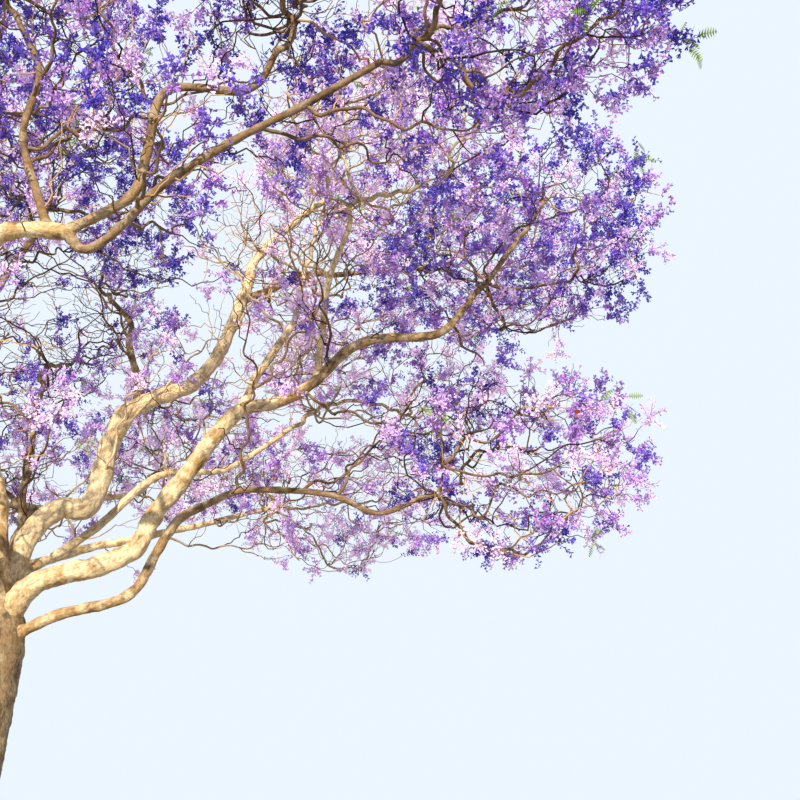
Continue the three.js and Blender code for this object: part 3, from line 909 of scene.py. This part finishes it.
def open_flower():
    """A trumpet flower along +Z from its stalk's end, with a slit on each side of every lobe."""
    points, faces = [(0, 0, 0)], []
    half = radians(LOBE_HALF_TURN)
    for i in range(FLOWER_LOBES):
        for side, length in zip((1, -1), LOBE_ENDS):
            angle = i * tau / FLOWER_LOBES + side * half
            points.append((0.5 * FLOWER_WIDTH * cos(angle),
                           0.5 * FLOWER_WIDTH * sin(angle), length * FLOWER_LENGTH))
        faces.append((0, 1 + 2 * i, 2 + 2 * i))
    return new_mesh("open_flower", points, faces)


def half_open_flower():
    """A narrow trumpet folded in two, with a lobe on each side."""
    lobes = np.array(HALF_OPEN_LOBES) * (FLOWER_WIDTH, FLOWER_WIDTH, FLOWER_LENGTH)
    return new_mesh("half_open_flower", [(0, 0, 0), *lobes], [(0, 1, 2), (0, 2, 3)])


def fresh_leaf():
    """A feathery leaf: leaflets in pairs along a rib, each pair shorter towards the tip."""
    points = [(-RIB_HALF, 0, 0), (RIB_HALF, 0, 0), (0, 0, LEAF_LENGTH)]
    for i in range(LEAF_PAIRS):
        foot = LEAF_LENGTH * between(LEAFLET_FEET, i / LEAF_PAIRS)
        reach = LEAF_WIDTH / 2 * sin(pi * between(LEAFLET_REACH, i / LEAF_PAIRS))
        tip, end = foot + LEAFLET_SLANT * reach, foot + LEAFLET_WIDTH * LEAF_LENGTH / LEAF_PAIRS
        for side in (-1, 1):
            points += [(0, 0, foot), (side * reach, LEAFLET_LIFT * reach, tip), (0, 0, end)]
    return new_mesh("fresh_leaf", points, np.arange(len(points)).reshape(-1, 3))


def seed_pod():
    """A flat round pod on a short stalk, along +Z."""
    middle, half = POD_STALK + POD_RADIUS, POD_THICKNESS / 2
    points, faces = [(0, half, middle), (0, -half, middle)], []
    for i in range(POD_SIDES):
        turn = i * tau / POD_SIDES
        points.append((POD_RADIUS * sin(turn), 0, middle - POD_RADIUS * cos(turn)))
        here, after = 2 + i, 2 + (i + 1) % POD_SIDES
        faces += [(0, here, after), (1, after, here)]
    tip, left, right, back = range(len(points), len(points) + 4)
    points += [(0, 0, POD_STALK + POD_STALK_ENTRY), (-POD_STALK_HALF, -POD_STALK_HALF, 0),
               (POD_STALK_HALF, -POD_STALK_HALF, 0), (0, POD_STALK_HALF, 0)]
    faces += [(tip, left, right), (tip, right, back), (tip, back, left), (left, back, right)]
    return new_mesh("seed_pod", points, faces)


# Limbs as they show

def wander(line, radii, index):
    """The line moved aside in slow waves, but not at its two ends."""
    run = run_along(line)
    moved = line.copy()
    for i, distance in enumerate(run):
        held = min(1, distance / LINE_WAVE, (run[-1] - distance) / LINE_WAVE)
        place = Vector((distance / LINE_WAVE, index + LINE_PLANE, LINE_PLANE))
        moved[i] += np.array(noise.noise_vector(place)) * held * LINE_WANDER * radii[i]
    return moved


def dome(rise):
    """Shares of the radius over a rounded tip, as rise goes from 0 to 1."""
    return np.sqrt(np.clip(1 - np.clip(rise, 0, DOME_END) ** 2, 0, 1))


def bough_skin(bough, limb, parent_radius, index):
    """A bough's fine centre line and its radius at each ring."""
    count = round(sum(length for length, _, _ in limb.stretches) / RING_STEP)
    places = np.linspace(0, len(limb.stretches), count + 1)
    line = smooth_line(stretch_ends(limb.points[0], limb.stretches), places)
    radii = np.linspace(*bough.radii, count + 1)
    line = wander(line, radii, index)
    run = run_along(line)
    waves = [noise.noise(Vector((place / GIRTH_WAVE, index, GIRTH_PLANE))) for place in run]
    collar = min(COLLAR, COLLAR_LIMIT * parent_radius / radii[0] - 1)
    past = np.maximum(0, run - COLLAR_FOOT * parent_radius)
    radii = radii * (1 + GIRTH_WANDER * np.array(waves))
    radii = radii * (1 + collar * np.exp(-past / (COLLAR_FADE * radii[0])))
    if not bough.blossom:
        radii = radii * dome((run - run[-1]) / radii[-1] + 1)
    return line, radii


def bough_tube(line, radii, fewest_sides, bleached):
    sides = max(fewest_sides, round(tau * radii.mean() / RING_EDGE))
    return tube_round(line, np.repeat(radii[:, None], sides, axis=1), bleached)


def trunk_tube():
    """The trunk's tube, with lobed root flare and a rounded fork."""
    shares = np.linspace(0, 1, round(TRUNK_HEIGHT / RING_STEP) + 1)
    sides = round(tau * TRUNK_RADIUS / RING_EDGE)
    reach = trunk_reach(shares[:, None], np.arange(sides)[None, :] * tau / sides)
    rise = (shares - DOME_FOOT) / (DOME_TOP - DOME_FOOT)
    return tube_round(trunk_line(shares), reach * dome(rise)[:, None], 0, upright=True)


# Twigs as they show

def string_joints(joints, tip_radius):
    """Joints strung into lines with radii, each going on into the joint that carries most, and
    whether each joint is a twig's end."""
    carried = np.ones(len(joints))
    children = [[] for _ in joints]
    for i in range(len(joints) - 1, 0, -1):
        carried[joints[i].parent] += carried[i]
        children[joints[i].parent].append(i)
    thickness = np.minimum(FINE_RADIUS * carried**FINE_GROWTH, tip_radius)
    thickness[0] = tip_radius
    strings = []
    waiting = [(0, 1)]
    while waiting:
        string = list(waiting.pop())
        while children[string[-1]]:
            onward = max(children[string[-1]], key=lambda i: carried[i])
            waiting += [(string[-1], i) for i in children[string[-1]] if i != onward]
            string.append(onward)
        radii = thickness[string]
        if string[0] != 0:
            radii[0] = radii[1]
        strings.append((np.array([joints[i].point for i in string]), radii))
    return strings, [len(own) == 0 for own in children]


def kinked(points, radii, draw):
    """A line that sways and kinks between its points."""
    lengths = norm(np.diff(points, axis=0), axis=1)
    steps = np.maximum(2, np.round(lengths / KINK_STEP)).astype(int)
    places = np.concatenate([k + np.arange(s) / s for k, s in enumerate(steps)] + [[len(steps)]])
    line = smooth_line(points, places)
    headings = np.gradient(line, axis=0)
    sway_turn = tau * draw()
    for i in range(1, len(line) - 1):
        past = places[i] % 1
        if past == 0:
            sway_turn = tau * draw()
            continue
        length = lengths[int(places[i])]
        heading = unit(headings[i])
        sway = SWAY * length * sin(pi * past)
        kink = KINK * length / steps[int(places[i])] * draw()
        line[i] += leaning(heading, pi / 2, sway_turn) * sway
        line[i] += leaning(heading, pi / 2, tau * draw()) * kink
    return line, np.interp(places, np.arange(len(points)), radii)


def add_thin_twig(family, bough, line, radii):
    """A twig with young bark, brown as painted shade, sandy as painted sunlight and more often so
    where its bough is bleached and painted sunlit.
    """
    share = GOLDEN / tau * sum(map(len, family.twigs.values())) % 1
    sandy = share < SANDY_SHARE + SANDY_RISE * (bough.bleached or TWIG_BLEACH_AND_PAINTED_SUNLIGHT)
    family.twigs["sandy" if sandy else "brown"].append((line, radii))


def add_twig(family, bough, points, radii, draw):
    """A twig along a line. A thick one has the limbs' bark, so it joins their tubes."""
    line, radii = kinked(points, radii, draw)
    if radii.max() < THICK_TWIG:
        add_thin_twig(family, bough, line, radii)
        return
    run = run_along(line)
    rings = np.linspace(0, run[-1], round(run[-1] / TWIG_RING_STEP) + 1)
    smooth = smooth_line(line, np.interp(rings, run, np.arange(len(line))))
    family.tubes.append(bough_tube(smooth, np.interp(rings, run, radii), FEWEST_TWIG_SIDES,
                                   bough.bleached or TWIG_BLEACH_AND_PAINTED_SUNLIGHT))


def panicle(start, heading, count, draw):
    """The stalks of a panicle: a main one that rises, and side ones that leave it."""
    heading = unit(heading + STALK_RISE * UP)
    main = heading * between(MAIN_STALKS, draw())
    lines = [np.array([start, start + main])]
    first_turn = tau * draw()
    for i in range(count - 1):
        foot = start + main * SIDE_STALKS_UPTO * draw()
        aside = leaning(heading, radians(between(STALK_FAN, draw())), first_turn + i * GOLDEN)
        lines.append(np.array([foot, foot + aside * between(SIDE_STALKS, draw())]))
    return lines


def in_box(points):
    """True where points are inside the solids' box or a little proud of it."""
    low, high = np.array(cad_box) / MM
    return bool(np.all(points > low - PROUD) and np.all(points < high + PROUD))


def in_crown(point, crown):
    """True in a mass's ball or near a limb, above the bare trunk and in the solids' box."""
    if point[2] < LOWEST_TWIG or not in_box(point):
        return False
    starts, ends, _ = crown.segments
    if distances(point, point, starts, ends).min() < SHOOT_REACH:
        return True
    return any(norm(stretched(point, space)) < space.spread for space in crown.spaces)


def shoot(start, out, length, kind, crown, draw):
    """A thin limb that turns from side to side, and stops where it would meet a limb."""
    points = [start]
    heading = out
    side = tau * draw()
    for i in range(round(length / kind["stretch"])):
        after = points[-1] + heading * kind["stretch"]
        if i > 0 and not clear_of(points[-1], after, kind["radii"][0], crown.segments):
            break
        if not in_crown(after, crown):
            break
        points.append(after)
        side += pi * between(SHOOT_SWING, draw())
        turned = leaning(heading, radians(kind["turn"]) * between(SHOOT_TURN, draw()), side)
        heading = unit(turned + SHOOT_RISE * UP + SHOOT_HOLD * out)
    return np.array(points)


def side_growth(line, radii, order, crown, draw):
    """Shoots of an order along a line, each with the thinner ones that leave it."""
    if order == len(SHOOTS):
        return []
    grown = []
    kind = SHOOTS[order]
    run = run_along(line)
    for i in range(int(run[-1] / kind["spacing"])):
        near = min(int(np.searchsorted(run, (i + draw()) * kind["spacing"])), len(line) - 2)
        angle = radians(between(SHOOT_ANGLES, draw()))
        out = leaning(unit(line[near + 1] - line[near]), angle, tau * draw())
        length = between(kind["lengths"], draw())
        if out[2] < LOWEST_SHOOT or radii[near] > between(THICKEST_SHOOTING, draw()):
            continue
        points = shoot(line[near], out, length, kind, crown, draw)
        if len(points) < 3:
            continue
        own = np.minimum(np.linspace(*kind["radii"], len(points)), SHOOT_THICKNESS * radii[near])
        grown.append((points, own, kind["blossom"]))
        grown += side_growth(points, own, order + 1, crown, draw)
    return grown


# The whole tree

def in_gap(point):
    """True where the photo's camera sees a point in one of the gaps."""
    away = point * MM - CAMERA_PLACE
    pitch = radians(CAMERA_PITCH)
    depth = away[1] * cos(pitch) + away[2] * sin(pitch)
    rise = away[2] * cos(pitch) - away[1] * sin(pitch)
    focal = PHOTO_SIDE * CAMERA_LENS / CAMERA_SENSOR
    right, down = PHOTO_SIDE / 2 + focal * away[0] / depth, PHOTO_SIDE / 2 - focal * rise / depth
    return any(hypot(right - x, down - y) < half and depth < deepest
               for x, y, half, deepest in GAPS.values())


def tone_value(bough, point, draw):
    """Where a panicle lies from the deepest tone, 0, to the palest, 1: it changes slowly at random,
    is deeper higher up as painted shade, and shifts with its bough's painted sunlight and shade.
    """
    slow = noise.noise(Vector(point / TONE_WAVE))
    painted_shade = TONE_PAINTED_SHADE_PER_METRE * (point[2] - TONE_HEIGHT) * MM
    return (TONE_MIDDLE + bough.paler + TONE_SPREAD * slow + PANICLE_SCATTER * either(draw)
            - painted_shade)


def dress_end(family, bough, start, heading, count, crown, draw):
    """A panicle on a twig, and now and then a tuft of leaves or some old pods."""
    if distances(start, start, *crown.thick).min() < BARE_ROUND:
        return
    if in_gap(start) and draw() > LEFT_IN_GAPS:
        return
    value = tone_value(bough, start, draw)
    for line in panicle(start, heading, count, draw):
        tone = int((value + STALK_SCATTER * either(draw)) * len(TONES))
        if in_box(line) and clear_of(line[0], line[-1], STALK_CLEARANCE, crown.segments):
            family.blossom[min(len(TONES) - 1, max(0, tone))].append(line)
            add_thin_twig(family, bough, line, np.array(STALK_RADII))
    chance = draw()
    if chance < LEAF_CHANCE:
        family.tufts["fresh_leaves"].extend(panicle(start, heading, LEAF_STALKS, draw))
    elif chance > 1 - POD_CHANCE:
        hanging = start + heading * PODS_ASIDE - UP * PODS_BELOW
        family.tufts["seed_pods"].append(np.array([start, hanging]))


def dress_mass(family, bough, space, crown, index):
    """A mass's twigs with blossom, and then the thinnest shoots, which are bare."""
    draw = draws_from(FINE_SEED + len(BOUGHS) + index)
    joints = branching(space, crown.spaces, crown.segments, index)
    strings, ends = string_joints(joints, bough.radii[1])
    for points, radii in strings:
        add_twig(family, bough, points, radii, draw)
    for joint, is_end in zip(joints[2:], ends[2:]):
        heading = unit(joint.point - joints[joint.parent].point)
        count, chance = (STALKS_AT_END, 1) if is_end else (STALKS_BETWEEN, BETWEEN_CHANCE)
        if draw() < bough.fullness * chance:
            dress_end(family, bough, joint.point, heading, count, crown, draw)
    for points, radii in strings:
        for line, own, _ in side_growth(points, radii, len(SHOOTS) - 1, crown, draw):
            add_twig(family, bough, line, own, draw)


def dress_bough(family, bough, limbs, crown, index):
    """A bough's skin, and the side growth that leaves it with its blossom."""
    parent = limbs[bough.parent]
    draw = draws_from(SHOOT_SEED + index)
    place = min(len(parent.radii) - 1, round(bough.at * (len(parent.radii) - 1)))
    line, radii = bough_skin(bough, limbs[bough.name], parent.radii[place], index)
    family.tubes.append(bough_tube(line, radii, FEWEST_SIDES, bough.bleached))
    grown = side_growth(line, radii, 0, crown, draw) + side_growth(line, radii, 1, crown, draw)
    for points, own, blossom in grown:
        add_twig(family, bough, points, own, draw)
        if draw() < blossom:
            heading = unit(points[-1] - points[-2])
            dress_end(family, bough, points[-1], heading, STALKS_AT_END, crown, draw)


def grow_tree():
    """Every family of boughs with its tubes, twigs and blossom."""
    noise.seed_set(WANDER_SEED)
    limbs = {"trunk": trunk_limb()}
    for index, bough in enumerate(BOUGHS):
        limbs[bough.name] = bough_limb(bough, limbs[bough.parent], index)
    carriers = [bough for bough in BOUGHS if bough.blossom]
    spaces = [mass_space(bough, limbs[bough.name]) for bough in carriers]
    starts = np.concatenate([limb.points[:-1] for limb in limbs.values()])
    ends = np.concatenate([limb.points[1:] for limb in limbs.values()])
    radii = np.concatenate([limb.radii[:-1] for limb in limbs.values()])
    thick = radii > BARE_THICKNESS
    crown = Crown((starts, ends, radii), (starts[thick], ends[thick]), spaces)
    families = {}
    family_of = {}
    for index, bough in enumerate(BOUGHS):
        if bough.parent == "trunk":
            family = Family([], [], [], {"brown": [], "sandy": []}, [[] for _ in TONES],
                            {"fresh_leaves": [], "seed_pods": []})
            families[bough.name.replace("_bough", "")] = family
        family_of[bough.name] = family_of.get(bough.parent, family)
        family_of[bough.name].limbs.append(bough.name)
        dress_bough(family_of[bough.name], bough, limbs, crown, index)
    for index, bough in enumerate(carriers):
        family = family_of[bough.name]
        family.masses.append(f"{bough.name.replace('_bough', '')}_blossom")
        dress_mass(family, bough, spaces[index], crown, index)
    return families


# Pieces

def add_piece(name, mesh, nodes):
    """A finished piece that rides on the tree and stands for its solids."""
    mesh.name = name
    piece = new_object(name, mesh)
    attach(piece, BODY)
    if nodes:
        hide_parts(*nodes)


def set_out(rule, stalks, kinds, count, leans, sizes, material):
    """Small things of a large and a small kind, all round stalks."""
    return grow(lines_mesh(stalks), rule, {
        "Large Kind": kinds[0], "Small Kind": kinds[1], "Count": count,
        "Least Lean": radians(leans[0]), "Most Lean": radians(leans[1]),
        "Smallest": sizes[0], "Largest": sizes[1], "Small Share": 1 - OPEN_SHARE,
        "Seed": BLOSSOM_SEED, "Material": material})


def make_pieces(families):
    bark = jacaranda_bark()
    # Young bark: thin and nearly smooth, reddish brown as painted shade and sandy as painted sunlight,
    # dealt out twig by twig
    twig_barks = {"brown": new_material("young_brown_bark", "#3E2A22", 0.8),
                  "sandy": new_material("sunbleached_twig_bark", "#B09068", 0.8)}
    # Petals: thin, soft and finely downy, with a painted glow for the daylight coming through them
    petals = {tone: painted_glow_material(f"{tone}_petals", code, 0.62, glow, Sheen_Weight=0.25)
              for tone, code, glow in TONES}
    # Fresh bipinnate leaves: thin and matt, a light yellow green against the sky, with a painted glow
    # for the daylight through them
    leaf_green = painted_glow_material("fresh_jacaranda_leaf", "#7F9A3C", 0.6, 0.1)
    # Old seed pods: flat woody discs, orange brown where the sun shines on them
    dry_wood = new_material("dry_jacaranda_pod", "#C8692B", 0.7)

    relief, twigs_along, along_stalks = bark_rule(), twig_rule(), stalk_rule()
    flower, half, frond, pod = (
        new_object(mesh.name, mesh)
        for mesh in (open_flower(), half_open_flower(), fresh_leaf(), seed_pod()))
    cracked = {
        "Crack Fineness": 1 / (CRACK_SPACING * MM), "Grain": (1.0, 1.0, 1 / CRACK_STRETCH),
        "Crack Depth": CRACK_DEPTH * MM, "Lump Fineness": 1 / (LUMP_SIZE * MM),
        "Lump Share": LUMP_SHARE, "Highest Lump": HIGHEST_LUMP * MM, "Sideways": (1.0, 1.0, 1.0),
        "Material": bark}
    sided = {"Thick Sides": THICK_SIDES, "Thin Sides": THIN_SIDES, "Thin Below": THIN_BELOW * MM}

    trunk = grow(join_tubes([trunk_tube()]), relief, {**cracked, "Sideways": (1.0, 1.0, 0.0)})
    add_piece("trunk_bark", trunk, ["trunk"])
    for name, family in families.items():
        skin = grow(join_tubes(family.tubes), relief, cracked)
        add_piece(f"{name}_limbs", skin, family.limbs)
        for title, dealt in family.twigs.items():
            made = grow(lines_mesh(*zip(*dealt)), twigs_along, {**sided, "Material": twig_barks[title]})
            add_piece(f"{name}_{title}_twigs", made, family.masses)
        for (tone, material), stalks in zip(petals.items(), family.blossom):
            if stalks:
                made = set_out(along_stalks, stalks, (flower, half), FLOWERS_PER_STALK, FLOWER_LEAN,
                               FLOWER_SIZES, material)
                add_piece(f"{name}_{tone}_blossom", made, family.masses)

    for title, thing, count, material, slot in (
            ("fresh_leaves", frond, FRONDS_PER_STALK, leaf_green, "blossom"),
            ("seed_pods", pod, PODS_PER_STALK, dry_wood, "bark")):
        stalks = [line for family in families.values() for line in family.tufts[title]]
        made = set_out(along_stalks, stalks, (thing, thing), count, TUFT_LEAN, TUFT_SIZES, material)
        add_piece(title, made, [])
    for template in (flower, half, frond, pod):
        bpy.data.objects.remove(template)


# Floor, light and camera

def make_stage():
    """A plain pale floor, a pale sky, a soft sun and a camera under the crown, looking up."""
    corners = [(x * FLOOR_HALF, y * FLOOR_HALF, 0) for x, y in ((-1, -1), (1, -1), (1, 1), (-1, 1))]
    floor = new_object("floor", new_mesh("floor", corners, [(0, 1, 2, 3)]))
    floor.data.materials.append(new_material("pale_floor", "#B3B0AA", 0.95))

    scene = bpy.context.scene
    scene.world = bpy.data.worlds.new("pale_sky")
    scene.world.use_nodes = True
    background = scene.world.node_tree.nodes["Background"]
    background.inputs["Color"].default_value = linear("#DBE4F0")
    background.inputs["Strength"].default_value = SKY_STRENGTH

    lamp = bpy.data.lights.new("sun", "SUN")
    lamp.energy = SUN_ENERGY
    lamp.angle = radians(SUN_WIDTH)
    lamp.color = linear("#FFF3E0")[:3]
    new_object("sun", lamp).rotation_euler = [radians(turn) for turn in SUN_TURNS]

    camera = new_object("camera", bpy.data.cameras.new("camera"))
    camera.location = CAMERA_PLACE
    camera.rotation_euler = (radians(90 + CAMERA_PITCH), 0, 0)
    camera.data.sensor_width = CAMERA_SENSOR
    camera.data.lens = CAMERA_LENS
    camera.data.clip_end = CAMERA_REACH
    scene.camera = camera
    scene.view_settings.view_transform = "Standard"
    scene.view_settings.look = "Medium High Contrast"


make_stage()
make_pieces(grow_tree())
